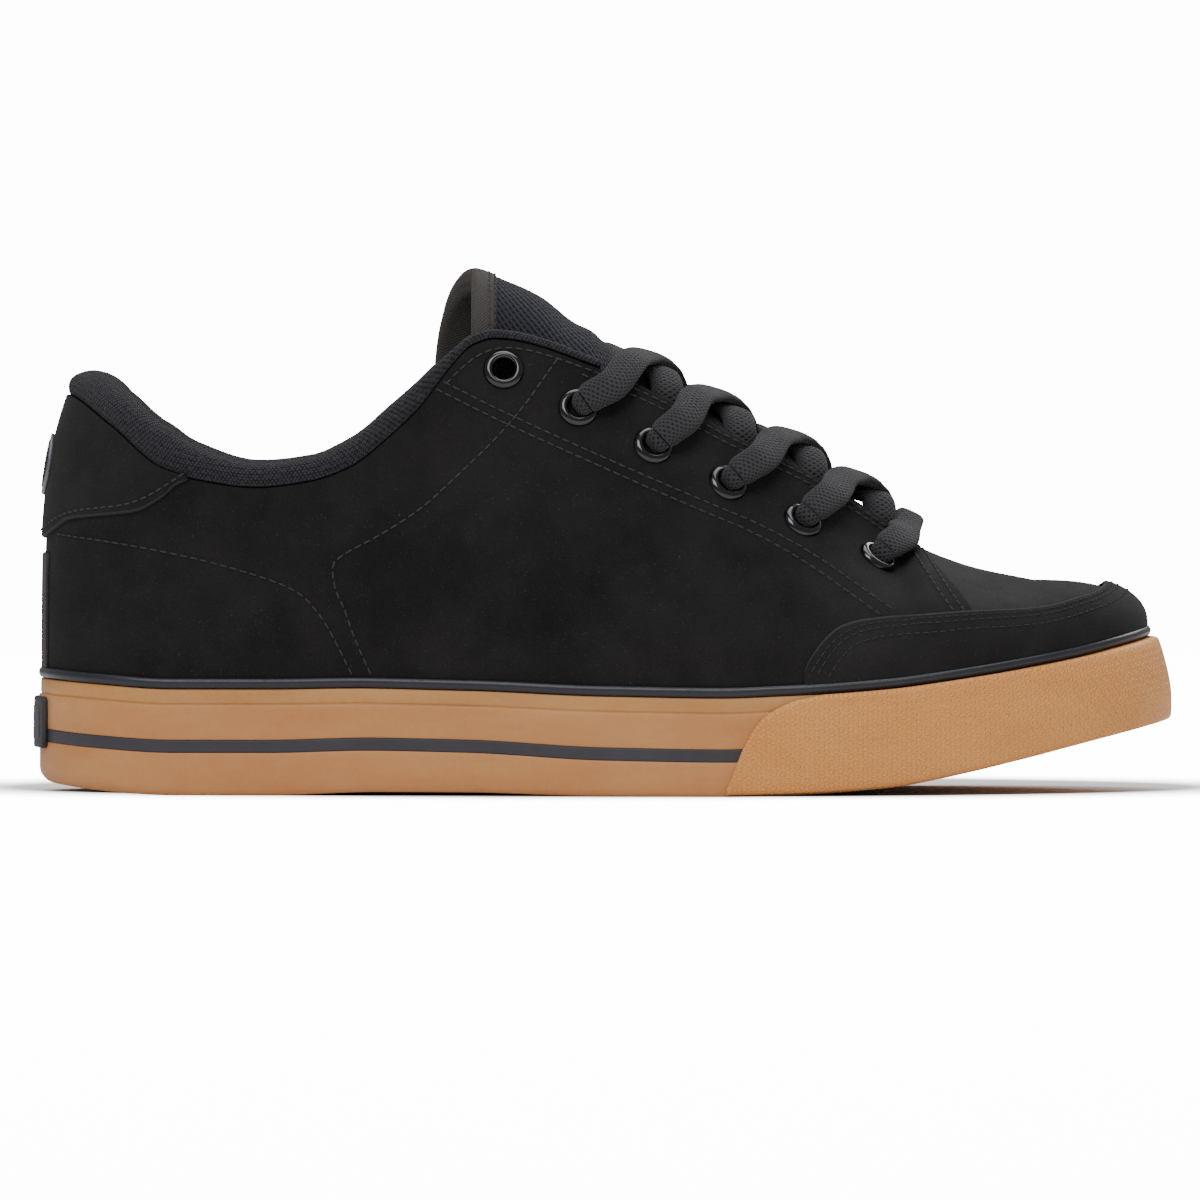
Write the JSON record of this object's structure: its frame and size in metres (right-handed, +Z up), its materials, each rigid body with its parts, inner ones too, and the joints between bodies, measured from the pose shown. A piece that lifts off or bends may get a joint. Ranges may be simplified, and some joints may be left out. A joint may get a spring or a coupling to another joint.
{
  "type": "skateboarding shoe",
  "caption": "Low skateboarding shoe: gum rubber cup sole with toe bumper, dark nubuck upper with overlays, padded collar and tongue, metal eyelets and flat criss-cross laces.",
  "frame": {"origin": "on the floor below the middle of the shoe's bounding box", "axes": "+X points to the toe, +Z up, -Y is the outer side of the foot (a right shoe)"},
  "size_m": [0.3024, 0.1154, 0.1391],
  "materials": {
    "gum_rubber": "moulded natural gum rubber, satin",
    "bumper_rubber": "textured gum rubber",
    "dark_rubber": "smooth dark rubber, satin",
    "nubuck": "near-black nubuck with a short nap",
    "overlay": "near-black nubuck, slightly greyer",
    "knit": "open dark mesh over foam",
    "binding": "woven dark grey tape",
    "lining": "dark textile",
    "emblem": "plain silver-grey oval",
    "eyelet": "black enamel, glossy",
    "lace": "flat woven lace"
  },
  "bodies": {
    "root": {"outsole": "gum_rubber", "toe_bumper": "bumper_rubber", "foxing_band": "dark_rubber", "side_stripe": "dark_rubber", "heel_badge": "dark_rubber", "insole": "lining", "upper": "nubuck", "collar": "knit", "tongue": "knit", "tongue_binding": "binding", "toe_guard": "overlay", "heel_patch": "overlay", "backstay": "binding", "heel_emblem": "emblem", "eyelet_outer_1": "eyelet", "eyelet_outer_2": "eyelet", "eyelet_outer_3": "eyelet", "eyelet_outer_4": "eyelet", "eyelet_outer_5": "eyelet", "eyelet_outer_6": "eyelet", "eyelet_inner_1": "eyelet", "eyelet_inner_2": "eyelet", "eyelet_inner_3": "eyelet", "eyelet_inner_4": "eyelet", "eyelet_inner_5": "eyelet", "eyelet_inner_6": "eyelet", "lace_cross_1": "lace", "lace_cross_2": "lace", "lace_cross_3": "lace", "lace_cross_4": "lace", "lace_bar": "lace"}
  },
  "joints": []
}
